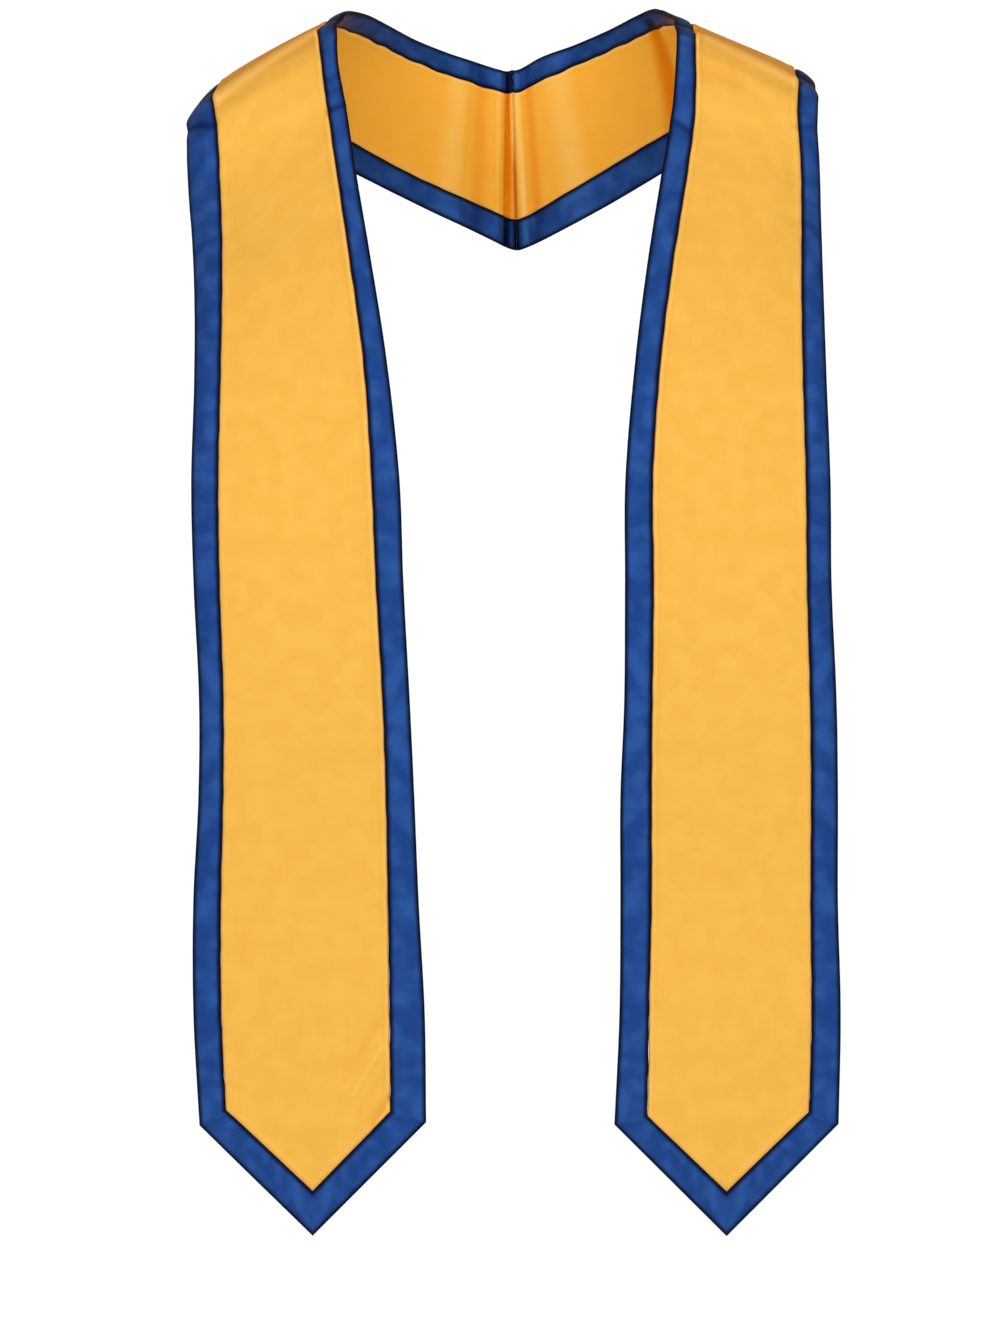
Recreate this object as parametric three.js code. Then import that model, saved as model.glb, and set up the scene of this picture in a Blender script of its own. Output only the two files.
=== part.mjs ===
// Graduation stole in its worn form: a satin band that lies round the back of the neck, turns over both
// shoulders and hangs down the front to two pointed ends. Two halves meet in a seam at the centre back.
// Each half is a face and a lining of gold satin, edged by blue strips that are mitred at the corners.
// Millimetres. +X is the wearer's left, +Y the wearer's back and +Z is up. The origin is where the stole
// sits: midway between the shoulder lines, level with their ends beside the neck.

import * as THREE from "three";

// Lengths and widths of the band
const HANG_LENGTH = 666.5; // from the shoulder line down to the corners of an end
const POINT_LENGTH = 66; // from the corners of an end down to its tip
const END_WIDTH = 132; // across an end, at its corners
const SEAM_LENGTH = 111.5; // between the edge lines at the centre back, before its ends are rounded off
const TRIM_WIDTH = 18; // the blue edging, where it lies flat

// Where the wearer's neck and shoulders hold it
const SHOULDER_SPAN = 380; // between the outer edges
const NECK_SPAN = 200; // between the neck edges on the shoulder lines
const SHOULDER_SLOPE = 54; // fall of a shoulder line from the neck to its outer end
const SHOULDER_CROWN = 5.5; // rise of the cloth above a straight shoulder line
const FRONT_REACH = 86; // from the shoulder line forward to the hanging ends
const CHEST_TURN = 10; // how far the chest holds the neck edge forward of the outer edge
const BACK_REACH = 114; // from the shoulder line back to the top of the seam
const CENTRE_DROP = 25; // from the shoulder line down to the top of the seam
const TAIL_REACH = 8; // how much further back the foot of the seam lies
const SEAM_LEAN = 3; // how far the foot of the seam lies to the wearer's left of its top
const NOTCH_RISE = 4; // the rounded notch at the top of the seam lies this much above its two lines
const FOOT_RISE = 2.4; // and the rounded foot at its bottom
const ROUND_REACH = 5; // length of that rounding along a half

// Cloth
const FACE_WALL = 1; // satin face with its interfacing
const LINING_WALL = 1;
const LAYER_GAP = 0.3; // between face and lining
const SEAM_GAP = 0.3; // between pieces that are sewn edge to edge
const EDGE_ROUND = 1.3; // from the folded edge of a trim to its full thickness
const EDGE_THINNING = 0.45; // share of the thickness that is left at that edge
const FOLD_PITCH = 9; // spacing of the pulls in the cloth beside the seam
const FOLD_HEIGHT = 2.6;
const FOLD_START = 3; // from the seam, which lies between the pulls, to their full height
const SEAM_TUCK = 0.6; // how deep the stitches pull the lower part of the seam, as a share of FOLD_HEIGHT
const TUCK_WIDTH = 1.8;

// Mesh
const STEPS_ACROSS_CLOTH = 2; // on each side of the middle
const STEPS_ACROSS_TRIM = [0, EDGE_ROUND]; // then the middle and the seam
const STEPS_DOWN_POINT = 4;
const HEM_BLEND_LENGTH = 150; // over this length the rows of the mesh turn into the shape of the point
const CURVE_SAMPLES = 500;
const PROBE = 0.5; // step for taking slopes
const LEAN_FADE = 4; // the higher, the nearer to the seam its lean has faded

const GOLD_SATIN = new THREE.MeshStandardMaterial({ color: "#f4b84e", roughness: 0.42, metalness: 0 });
const BLUE_SATIN = new THREE.MeshStandardMaterial({ color: "#23498f", roughness: 0.4, metalness: 0 });

// Each row of a table becomes an object with the names of its columns.
function table(columns, rows) {
  return rows.map((row) => Object.fromEntries(columns.map((column, k) => [column, row[k]])));
}

// Rows from the seam to just behind the shoulder line. neckOut is a share of half NECK_SPAN and outerOut of
// half SHOULDER_SPAN. The back shares are of BACK_REACH, outerBack's with TAIL_REACH added. sag is a share of
// CENTRE_DROP, and fall goes from 0 at the shoulder's outer end to 1 at the foot of the seam. crown is a
// share of SHOULDER_CROWN. The trims are shares of TRIM_WIDTH: where an edge rolls under, less of it shows.
const BACK_COLUMNS = [
  "neckOut", "neckBack", "sag", "outerOut", "outerBack", "fall", "crown", "neckTrim", "outerTrim",
];
const BACK = {
  left: table(BACK_COLUMNS, [
    [0.0, 1.0, 1.0, 0.0, 1.0, 1.0, 0.0, 0.76, 1.06],
    [0.17, 0.97, 0.58, 0.14, 0.97, 0.845, 0.0, 0.79, 1.13],
    [0.39, 0.9, 0.28, 0.29, 0.92, 0.67, 0.0, 0.7, 1.18],
    [0.61, 0.79, -0.05, 0.44, 0.84, 0.48, 0.1, 0.68, 1.18],
    [0.77, 0.63, -0.3, 0.58, 0.72, 0.3, 0.25, 0.7, 1.1],
    [0.87, 0.42, -0.34, 0.73, 0.52, 0.14, 0.45, 0.7, 0.98],
    [0.94, 0.19, -0.09, 0.87, 0.25, 0.0, 0.6, 0.68, 0.9],
  ]),
  right: table(BACK_COLUMNS, [
    [0.0, 1.0, 1.0, 0.0, 1.0, 1.0, 0.0, 0.76, 1.06],
    [0.19, 0.97, 0.73, 0.12, 0.97, 0.85, 0.0, 0.76, 1.0],
    [0.39, 0.9, 0.5, 0.26, 0.92, 0.7, 0.0, 0.74, 0.93],
    [0.61, 0.79, 0.2, 0.39, 0.84, 0.56, 0.15, 0.74, 0.91],
    [0.77, 0.63, -0.06, 0.54, 0.72, 0.4, 0.4, 0.74, 0.95],
    [0.89, 0.43, -0.2, 0.7, 0.52, 0.26, 0.8, 0.74, 1.03],
    [0.98, 0.2, -0.16, 0.88, 0.25, 0.12, 1.3, 0.77, 1.25],
  ]),
};

// Side view of the front, from the shoulder line to the corners of an end: fore is a share of FRONT_REACH and
// turn of CHEST_TURN.
const FRONT_PROFILE = table(
  ["fore", "turn"],
  [
    [0.0, 0.0],
    [0.15, 0.0],
    [0.31, 0.1],
    [0.365, 0.3],
    [0.41, 0.6],
    [0.52, 0.9],
    [0.67, 1.0],
    [0.81, 1.0],
    [0.92, 0.9],
    [0.98, 0.7],
    [1.0, 0.5],
    [0.99, 0.4],
    [0.99, 0.3],
    [1.01, 0.3],
    [1.03, 0.4],
  ],
);

// Front view of each half, row for row with the side view. drop is a share of HANG_LENGTH, down to the neck
// edge, and tilt a share of SHOULDER_SLOPE, from there to the outer edge. outer is a share of half
// SHOULDER_SPAN. widening goes from 0, the distance between the edges on the shoulder line, to 1, END_WIDTH.
const FRONT_COLUMNS = ["drop", "tilt", "outer", "widening", "crown", "neckTrim", "outerTrim"];
const FRONT = {
  left: table(FRONT_COLUMNS, [
    [0.005, 0.74, 0.961, -0.12, 0.7, 0.66, 0.84],
    [0.012, 0.75, 0.967, -0.11, 0.7, 0.66, 0.82],
    [0.027, 0.76, 0.966, -0.12, 0.65, 0.68, 0.79],
    [0.053, 0.73, 0.964, -0.11, 0.6, 0.74, 0.75],
    [0.093, 0.63, 0.97, -0.03, 0.55, 0.8, 0.71],
    [0.157, 0.44, 0.972, 0.15, 0.5, 0.85, 0.7],
    [0.235, 0.28, 0.975, 0.365, 0.45, 0.84, 0.76],
    [0.324, 0.11, 0.98, 0.57, 0.45, 0.84, 0.8],
    [0.43, 0.02, 0.99, 0.757, 0.5, 0.9, 0.83],
    [0.52, 0.0, 0.991, 0.77, 0.5, 0.94, 0.82],
    [0.627, 0.0, 1.006, 0.85, 0.45, 0.92, 0.88],
    [0.71, 0.0, 1.01, 0.92, 0.4, 1.02, 0.89],
    [0.805, 0.0, 1.01, 0.92, 0.3, 1.02, 0.9],
    [0.902, 0.0, 1.018, 0.97, 0.2, 0.97, 0.96],
    [1.0, 0.0, 1.011, 1.01, 0.1, 1.06, 0.98],
  ]),
  right: table(FRONT_COLUMNS, [
    [0.0, 1.11, 1.003, -0.02, 1.4, 0.7, 1.26],
    [0.01, 1.11, 1.027, -0.02, 1.25, 0.68, 1.26],
    [0.026, 1.12, 1.03, 0.0, 1.05, 0.68, 1.24],
    [0.051, 1.09, 1.03, 0.02, 0.82, 0.62, 1.27],
    [0.092, 0.98, 1.024, 0.11, 0.7, 0.66, 1.23],
    [0.157, 0.72, 1.01, 0.21, 0.6, 0.65, 1.1],
    [0.235, 0.44, 1.0, 0.38, 0.5, 0.7, 0.97],
    [0.324, 0.22, 0.997, 0.59, 0.5, 0.77, 0.9],
    [0.43, 0.02, 1.003, 0.8, 0.5, 0.92, 0.91],
    [0.52, 0.0, 0.994, 0.815, 0.5, 0.9, 0.87],
    [0.627, 0.0, 0.976, 0.825, 0.45, 0.89, 0.81],
    [0.71, 0.0, 0.978, 0.895, 0.4, 0.93, 0.82],
    [0.805, 0.0, 0.994, 1.03, 0.3, 1.01, 0.91],
    [0.902, 0.02, 0.993, 1.11, 0.2, 1.15, 0.92],
    [0.998, 0.04, 0.974, 1.045, 0.1, 1.16, 0.9],
  ]),
};

// Pulls in the cloth beside the seam. neckAt and outerAt are where a pull lies at the two edges, and spread
// is its width, as shares of FOLD_PITCH. Its heights at the two edges are shares of FOLD_HEIGHT, away from
// the wearer.
const FOLD_COLUMNS = ["neckAt", "outerAt", "spread", "neckHeight", "outerHeight"];
const FOLDS = {
  left: table(FOLD_COLUMNS, [
    [0.38, 0.69, 0.26, -0.5, -0.55],
    [1.45, 1.5, 0.6, 0.42, 0.42],
    [4.0, 4.6, 1.4, -0.3, -0.3],
  ]),
  right: table(FOLD_COLUMNS, [
    [0.33, 0.85, 0.4, 1.0, 1.0],
    [1.15, 1.25, 0.3, -0.35, -0.4],
    [2.7, 2.9, 0.9, 0.4, 0.4],
    [4.4, 4.8, 1.4, -0.3, -0.3],
  ]),
};

// The strips on a point, as shares of TRIM_WIDTH: at the corner of the neck edge, at the tip and at the
// corner of the outer edge.
const POINT_TRIMS = {
  left: { neck: 0.92, tip: 1.03, outer: 0.95 },
  right: { neck: 1.1, tip: 1.04, outer: 0.95 },
};

// Rows of the mesh along a half, up to a share of its length: close together at the seam and the shoulder.
const MESH_ROWS = table(
  ["until", "rows"],
  [
    [0.012, 7],
    [0.03, 5],
    [0.07, 6],
    [0.18, 8],
    [0.3, 16],
    [0.46, 7],
    [1.0, 13],
  ],
);

const mix = THREE.MathUtils.lerp;
const smooth = THREE.MathUtils.smoothstep;

// The points of both edges of a half, from the seam to the corners of its end.
function edgePoints(side) {
  const halfSpan = SHOULDER_SPAN / 2;
  const neckHalf = NECK_SPAN / 2;
  const lean = side === "left" ? SEAM_LEAN : -SEAM_LEAN;
  const back = BACK[side].map((row) => ({
    neck: new THREE.Vector3(row.neckOut * neckHalf, row.neckBack * BACK_REACH, -row.sag * CENTRE_DROP),
    outer: new THREE.Vector3(
      row.outerOut * halfSpan + row.fall ** LEAN_FADE * lean,
      row.outerBack * (BACK_REACH + TAIL_REACH),
      -mix(SHOULDER_SLOPE, CENTRE_DROP + SEAM_LENGTH, row.fall),
    ),
  }));
  const front = FRONT[side].map((row, k) => {
    const { fore, turn } = FRONT_PROFILE[k];
    const outerX = row.outer * halfSpan;
    const neckX = outerX - mix(halfSpan - neckHalf, END_WIDTH, row.widening);
    const neckZ = -row.drop * HANG_LENGTH;
    const middleY = -fore * FRONT_REACH;
    const turnY = (turn * CHEST_TURN) / 2;
    return {
      neck: new THREE.Vector3(neckX, middleY - turnY, neckZ),
      outer: new THREE.Vector3(outerX, middleY + turnY, neckZ - row.tilt * SHOULDER_SLOPE),
    };
  });
  return [...back, ...front];
}

// A smooth curve through one column of a half's tables.
function columnCurve(side, column) {
  const rows = [...BACK[side], ...FRONT[side]];
  return new THREE.SplineCurve(rows.map((row, k) => new THREE.Vector2(k, row[column])));
}

// The middle surface of one half. s runs along its centre line from the seam and w across it, from 0 at the
// neck edge to 1 at the outer edge. Past the corners of the end the surface hangs straight down.
function halfSurface(side) {
  const points = edgePoints(side);
  const neck = new THREE.CatmullRomCurve3(points.map((p) => p.neck), false, "centripetal");
  const outer = new THREE.CatmullRomCurve3(points.map((p) => p.outer), false, "centripetal");
  const crown = columnCurve(side, "crown");
  const neckTrim = columnCurve(side, "neckTrim");
  const outerTrim = columnCurve(side, "outerTrim");

  const middle = (t) => neck.getPoint(t).lerp(outer.getPoint(t), 0.5);
  const lengths = [0];
  for (let k = 1; k <= CURVE_SAMPLES; k += 1) {
    const step = middle(k / CURVE_SAMPLES).distanceTo(middle((k - 1) / CURVE_SAMPLES));
    lengths.push(lengths[k - 1] + step);
  }
  const length = lengths[CURVE_SAMPLES];

  // The curves' own parameter at a distance along the centre line.
  function parameter(s) {
    const wanted = THREE.MathUtils.clamp(s, 0, length);
    const k = Math.max(1, lengths.findIndex((reached) => reached >= wanted));
    const share = (wanted - lengths[k - 1]) / (lengths[k] - lengths[k - 1]);
    return (k - 1 + share) / CURVE_SAMPLES;
  }

  function flat(s, w) {
    const t = parameter(s);
    const point = neck.getPoint(t).lerp(outer.getPoint(t), w);
    point.z -= Math.max(s - length, 0);
    const away = s / ROUND_REACH;
    point.z += mix(NOTCH_RISE, FOOT_RISE, w) * (Math.hypot(away, 1) - away);
    return point;
  }

  // Square to the surface, away from the wearer.
  function square(surface, s, w) {
    const near = Math.max(s - PROBE, 0);
    const along = surface(near + 2 * PROBE, w).sub(surface(near, w));
    const across = surface(s, w + 0.01).sub(surface(s, w - 0.01));
    const normal = along.cross(across);
    normal.x *= smooth(s, 0, FOLD_START);
    return normal.normalize();
  }

  // The rounding of the shoulder, fullest towards its outer end.
  const crownShape = (w) => (1 - (1 - w) ** 2) * (1 - Math.abs(w) ** 10);

  function pulls(s, w) {
    const sum = FOLDS[side].reduce((total, fold) => {
      const away = (s / FOLD_PITCH - mix(fold.neckAt, fold.outerAt, w)) / fold.spread;
      return total + mix(fold.neckHeight, fold.outerHeight, w) * Math.exp(-away * away);
    }, 0);
    const tuck = SEAM_TUCK * smooth(w, 0.3, 0.6) * Math.exp(-((s / TUCK_WIDTH) ** 2));
    return sum * smooth(s, 0, FOLD_START) + tuck;
  }

  function lifted(s, w) {
    const lift =
      crown.getPoint(parameter(s)).y * SHOULDER_CROWN * crownShape(w) + pulls(s, w) * FOLD_HEIGHT;
    return flat(s, w).addScaledVector(square(flat, s, w), lift);
  }

  return {
    length,
    width: (s) => neck.getPoint(parameter(s)).distanceTo(outer.getPoint(parameter(s))),
    neckTrim: (s) => neckTrim.getPoint(parameter(s)).y * TRIM_WIDTH,
    outerTrim: (s) => outerTrim.getPoint(parameter(s)).y * TRIM_WIDTH,
    // The point at height h above the middle surface.
    at: (s, w, h) => lifted(s, w).addScaledVector(square(lifted, s, w), h),
  };
}

// Distances along a half at which the mesh has rows.
function rowStations(length) {
  const stations = [SEAM_GAP / 2];
  MESH_ROWS.forEach(({ until, rows }) => {
    const from = stations[stations.length - 1];
    for (let k = 1; k <= rows; k += 1) stations.push(mix(from, until * length, k / rows));
  });
  return stations;
}

// A closed sheet of cloth from a grid of places {s, w, low, high}: low and high are heights at that place.
function sheetGeometry(surface, grid, mirrored) {
  const rows = grid.length;
  const columns = grid[0].length;
  const positions = [];
  ["high", "low"].forEach((level) =>
    grid.forEach((row) =>
      row.forEach((place) => {
        const point = surface.at(place.s, place.w, place[level]);
        positions.push(mirrored ? -point.x : point.x, point.y, point.z);
      }),
    ),
  );
  const index = [];
  const quad = (a, b, c, d) => {
    if (mirrored) index.push(a, c, b, a, d, c);
    else index.push(a, b, c, a, c, d);
  };
  const top = (i, j) => i * columns + j;
  const bottom = (i, j) => (rows + i) * columns + j;
  for (let i = 0; i < rows - 1; i += 1) {
    for (let j = 0; j < columns - 1; j += 1) {
      quad(top(i, j), top(i + 1, j), top(i + 1, j + 1), top(i, j + 1));
      quad(bottom(i, j), bottom(i, j + 1), bottom(i + 1, j + 1), bottom(i + 1, j));
    }
    quad(top(i, 0), bottom(i, 0), bottom(i + 1, 0), top(i + 1, 0));
    quad(top(i, columns - 1), top(i + 1, columns - 1), bottom(i + 1, columns - 1), bottom(i, columns - 1));
  }
  for (let j = 0; j < columns - 1; j += 1) {
    quad(top(0, j), top(0, j + 1), bottom(0, j + 1), bottom(0, j));
    quad(top(rows - 1, j), bottom(rows - 1, j), bottom(rows - 1, j + 1), top(rows - 1, j + 1));
  }
  const geometry = new THREE.BufferGeometry();
  geometry.setAttribute("position", new THREE.Float32BufferAttribute(positions, 3));
  geometry.setIndex(index);
  geometry.computeVertexNormals();
  return geometry;
}

// All pieces of one half of the stole.
function buildHalf(side) {
  const surface = halfSurface(side);
  const mirrored = side === "right";
  const { length } = surface;
  const endWidth = surface.width(length);
  const slant = Math.atan2(POINT_LENGTH, endWidth / 2); // of the point's edges
  const stations = rowStations(length);
  const lowest = -(LAYER_GAP / 2 + LINING_WALL);
  const highest = LAYER_GAP / 2 + FACE_WALL;

  // Places on the end: its outer edge, and the seam between the cloth and the edging of the point.
  const pointEdge = (w) => length + POINT_LENGTH * (1 - Math.abs(2 * w - 1));
  const pointTrim = (w) => {
    const { neck, tip, outer } = POINT_TRIMS[side];
    return mix(tip, w < 0.5 ? neck : outer, Math.abs(2 * w - 1)) * TRIM_WIDTH;
  };
  const pointSeam = (w) => pointEdge(w) - pointTrim(w) / Math.cos(slant);
  const neckSeam = (s) => surface.neckTrim(s) / surface.width(s);
  const outerSeam = (s) => 1 - surface.outerTrim(s) / surface.width(s);

  // A row of the mesh starts straight across and takes the shape of the end as it comes near it.
  const shaped = (s, end) => s + smooth(s, length - HEM_BLEND_LENGTH, length) * (end - length);

  function piece(name, grid, material) {
    const mesh = new THREE.Mesh(sheetGeometry(surface, grid, mirrored), material);
    mesh.name = `${name}_${side}`;
    return mesh;
  }

  function clothGrid(low, high) {
    return stations.map((s) => {
      const seam = SEAM_GAP / surface.width(s);
      return Array.from({ length: 2 * STEPS_ACROSS_CLOTH + 1 }, (_, j) => {
        const beside = j < STEPS_ACROSS_CLOTH ? neckSeam(s) + seam : outerSeam(s) - seam;
        const w = mix(0.5, beside, Math.abs(j / STEPS_ACROSS_CLOTH - 1));
        return { s: shaped(s, pointSeam(w) - SEAM_GAP / Math.cos(slant)), w, low, high };
      });
    });
  }

  // Shares of the thickness from the folded edge of a trim inwards.
  const trimSteps = (width) => [...STEPS_ACROSS_TRIM.map((step) => step / width), 0.5, 1];
  const trimPlace = (s, w, j) => {
    const share = j === 0 ? EDGE_THINNING : 1;
    return { s, w, low: lowest * share, high: highest * share };
  };

  // The strip along the neck edge (edge 0) or the outer edge (edge 1), down to its mitre.
  function sideTrimGrid(edge) {
    return stations.map((s) => {
      const seam = edge === 0 ? neckSeam(s) : outerSeam(s);
      const width = Math.abs(seam - edge) * surface.width(s);
      const row = trimSteps(width).map((step, j) => {
        const w = mix(edge, seam, step);
        const mitre = mix(length, pointSeam(seam), step) - SEAM_GAP;
        return trimPlace(shaped(s, mitre), w, j);
      });
      return edge === 0 ? row : row.reverse();
    });
  }

  // The strip along one edge of the point, from the corner's mitre to the tip's.
  function pointTrimGrid(edge) {
    const tip = 0.5 + (edge === 0 ? -1 : 1) * (SEAM_GAP / 2 / endWidth);
    const seam = edge === 0 ? neckSeam(length) : outerSeam(length);
    return Array.from({ length: STEPS_DOWN_POINT + 1 }, (_, i) => {
      const along = i / STEPS_DOWN_POINT;
      const outside = mix(edge, tip, along);
      const inside = mix(seam, tip, along);
      const row = trimSteps(TRIM_WIDTH).map((step, j) =>
        trimPlace(mix(pointEdge(outside), pointSeam(inside), step), mix(outside, inside, step), j),
      );
      return edge === 0 ? row : row.reverse();
    });
  }

  const half = new THREE.Group();
  half.add(
    piece("face", clothGrid(LAYER_GAP / 2, highest), GOLD_SATIN),
    piece("lining", clothGrid(lowest, -LAYER_GAP / 2), GOLD_SATIN),
    piece("neck_trim", sideTrimGrid(0), BLUE_SATIN),
    piece("outer_trim", sideTrimGrid(1), BLUE_SATIN),
    piece("point_trim_neck_side", pointTrimGrid(0), BLUE_SATIN),
    piece("point_trim_outer_side", pointTrimGrid(1), BLUE_SATIN),
  );
  return half;
}

const stole = new THREE.Group();
stole.add(buildHalf("left"), buildHalf("right"));

export default stole;
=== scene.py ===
"""Graduation stole in gold satin with blue edging, as it lies round a neck and hangs down the front.

Metres, +Z up. +X is the wearer's left and +Y the wearer's back. Both halves are laid out on one surface: s
runs along a half from the seam at the centre back, and w across it, from 0 at the neck edge to 1 outside.
"""

import math

import bpy
import numpy as np
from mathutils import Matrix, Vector


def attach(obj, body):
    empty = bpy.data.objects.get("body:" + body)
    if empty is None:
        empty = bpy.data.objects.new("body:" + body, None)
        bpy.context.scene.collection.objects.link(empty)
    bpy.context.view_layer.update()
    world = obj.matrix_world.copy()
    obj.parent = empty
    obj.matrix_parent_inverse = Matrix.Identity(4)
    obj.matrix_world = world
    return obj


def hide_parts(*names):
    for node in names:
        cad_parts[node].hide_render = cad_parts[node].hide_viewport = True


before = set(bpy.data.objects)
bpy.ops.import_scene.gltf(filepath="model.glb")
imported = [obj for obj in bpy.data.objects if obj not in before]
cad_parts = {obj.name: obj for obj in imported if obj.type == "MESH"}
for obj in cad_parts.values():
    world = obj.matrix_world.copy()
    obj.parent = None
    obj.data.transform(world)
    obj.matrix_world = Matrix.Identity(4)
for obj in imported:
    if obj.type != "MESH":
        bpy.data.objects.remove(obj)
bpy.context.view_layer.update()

MM = 0.001

# Camera
EYE = (-7.7 * MM, -3086 * MM, -396.6 * MM)
SENSOR = 36  # mm, along the picture's long side
LENS = 137.3  # mm

# Lengths and widths of the band
HANG_LENGTH = 666.5 * MM  # from the shoulder line down to the corners of an end
POINT_LENGTH = 66 * MM  # from the corners of an end down to its tip
END_WIDTH = 132 * MM  # across an end, at its corners
SEAM_LENGTH = 111.5 * MM  # at the centre back, before its two ends are rounded off
TRIM_WIDTH = 18 * MM  # the blue edging, where it lies flat

# Where the neck and shoulders hold it
SHOULDER_SPAN = 380 * MM  # between the outer edges
NECK_SPAN = 200 * MM  # between the neck edges on the shoulder lines
SHOULDER_SLOPE = 54 * MM  # fall of a shoulder line from the neck to its outer end
SHOULDER_CROWN = 5.5 * MM  # rise of the cloth above a straight shoulder line
CROWN_LET_DOWN = 10  # the higher, the nearer to the outer edge the crown comes down
FRONT_REACH = 86 * MM  # from the shoulder line forward to the hanging ends
CHEST_TURN = 10 * MM  # how far the chest holds the neck edge forward of the outer edge
BACK_REACH = 114 * MM  # from the shoulder line back to the top of the seam
CENTRE_DROP = 25 * MM  # from the shoulder line down to the top of the seam
TAIL_REACH = 8 * MM  # how much further back the foot of the seam lies
SEAM_LEAN = 3 * MM  # how far the foot of the seam lies to the wearer's left of its top
LEAN_FADE = 4  # the higher, the nearer to the seam its lean has faded
NOTCH_RISE = 4 * MM  # the notch at the top of the seam is this much shallower than its two lines
FOOT_RISE = 2.4 * MM  # and the foot at its bottom
ROUND_REACH = 5 * MM  # length of that rounding along a half

# Cloth
FACE_WALL = 1 * MM
LINING_WALL = 1 * MM
LAYER_GAP = 0.3 * MM  # between face and lining
STITCH_GAP = 0.02 * MM  # between pieces that are sewn edge to edge
FOLD_PITCH = 9 * MM  # spacing of the pulls in the cloth beside the centre seam
FOLD_HEIGHT = 2.6 * MM
FOLD_START = 3 * MM  # from the seam, which lies between the pulls, to their full height
SEAM_TUCK = 0.6  # how deep the stitches pull the lower part of the seam, as a share of FOLD_HEIGHT
TUCK_WIDTH = 1.8 * MM
TUCK_FROM, TUCK_FULL = 0.3, 0.6  # where it starts across the seam, and where it is full
SEAM_OPEN = 0.3 * MM  # the centre seam is pressed open, so it takes less painted seam shade than the trims' stitches

# Roundings of the cloth
HEM_ROUND = 2.6 * MM  # a trim's folded edge rounds off over this width
HEM_THIN = 0.2  # share of the thickness left at the very edge
PADDING = 0.7 * MM  # how much the folded trims swell in the middle
PADDING_ROUND = 0.8  # 1 is a plain arch, and less is fuller beside the edges
TRIM_DITCH = 1.4 * MM  # from the stitch line to the full height of a trim
GOLD_DITCH = 0.6 * MM  # and of the gold cloth
DITCH_DEPTH = 0.75  # share of the wall that the stitches pull down
ROLL_AT = 2.4 * MM  # the seam allowance lifts the cloth this far from the stitches
ROLL_WIDTH = 1.1 * MM
ROLL_HEIGHT = 0.35 * MM

# Unevenness of the sewing and of the cloth: how high, and how long and wide
DENTS = (0.5 * MM, 75 * MM, 50 * MM)
RIPPLES = (0.1 * MM, 20 * MM, 32 * MM)
PUCKERS = (0.25 * MM, 9 * MM, 10 * MM)  # beside the stitches of the trims
PUCKER_FADE = 9 * MM  # from a seam to where its puckers have died away
WAVER = 0.15 * MM  # how far a seam strays from its line
NECK_WAVER = 0.45 * MM  # and more round the back of the neck
WAVER_RUN = 31 * MM  # length of one of its waves
WAVER_STARTS = {"left": (0.4, 1.7), "right": (3.0, 4.3)}  # angle at which each seam starts to stray
SECOND_WAVE = 1.7  # a faster wave on top of the first, which never falls into step with it
SEEDS = {"left": 4, "right": 5}

# Mesh
ROW_STEP = 2.2 * MM
COLUMN_STEP = 2.2 * MM
EDGE_STEPS = np.array([0, 0.15, 0.4, 0.8, 1.3, 1.9, 2.6, 3.4]) * MM  # rows and columns beside a seam
HEM_STEPS = HEM_ROUND * (1 - np.cos(np.linspace(0, math.pi / 2, 6)))  # and beside a folded edge
HEM_BLEND = 150 * MM  # over this length the rows of the mesh turn into the shape of the point
CURVE_SAMPLES = 500
PROBE = 0.5 * MM  # steps along and across for finding what is square to a surface
PROBE_ACROSS = 0.01
NOISE_KNOTS = 128
SHARP_ANGLE = math.radians(50)  # a cut edge stays crisp, a folded one is shaded round

# Surroundings
SURROUND = 12
SURROUND_GLOW = 1.05
FLOOR = 3
FLOOR_LEVEL = -1.4
FLOOR_TINT = "#f2f0ec"
FLOOR_ROUGHNESS = 0.8
ROOM_LIGHT = 0.3
ROOM_TINT = "#ffdcae"
WHITE = "#ffffff"
WARM = "#ff9a4d"

# Light panels: where each stands and what it faces, its size, watts and colour, and whether it lights the
# cloth, gleams in the satin or does both
PANELS = {
    "front_panel": ((0, -3.9, 0.4), (0, 0, -0.2), (6, 5), 160, WHITE, "both"),
    "fill_panel_left": ((2.2, -1.3, 1.1), (0, 0.1, -0.05), (1.5, 1.5), 20, WHITE, "lights"),
    "fill_panel_right": ((-2.2, -1.3, 1.1), (0, 0.1, -0.05), (1.5, 1.5), 20, WHITE, "lights"),
    "back_panel": ((0, 3.9, 0.8), (0, 0, -0.2), (4, 4), 80, WHITE, "lights"),
    "top_panel": ((0, -0.6, 2.4), (0, 0, 0), (2, 2), 24, WARM, "lights"),
    "crest_panel": ((0, -0.5, 2.5), (0, 0, 0), (2.2, 0.5), 15, WHITE, "gleams"),
}

# Colours
GOLD = "#d8aa4a"
# random paler patches, and a painted highlight on crests and beside the stitches
GOLD_PALE_AND_HIGHLIGHT = "#eec468"
# painted shade beside the stitches and the folded edges, and a faint tone along the yarns
GOLD_SHADE_AND_YARN = "#7a3a0c"
# painted shade in the hollows of pulls and creases
GOLD_FOLD_SHADE = "#d67e06"
GOLD_EDGE = "#ffc070"
# the lining's colour stands in for the softer shade inside the back: painted shade
LINING_SHADED = "#e8ad3a"
BLUE = "#1b3d7f"
# random paler patches, and a painted highlight on crests
BLUE_PALE_AND_HIGHLIGHT = "#2a5299"
# painted shade beside the stitches and the folded edges, and a faint tone along the yarns
BLUE_SHADE_AND_YARN = "#080d22"
# painted shade in the hollows of pulls and creases
BLUE_FOLD_SHADE = "#060e30"
BLUE_EDGE = "#30508f"

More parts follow.
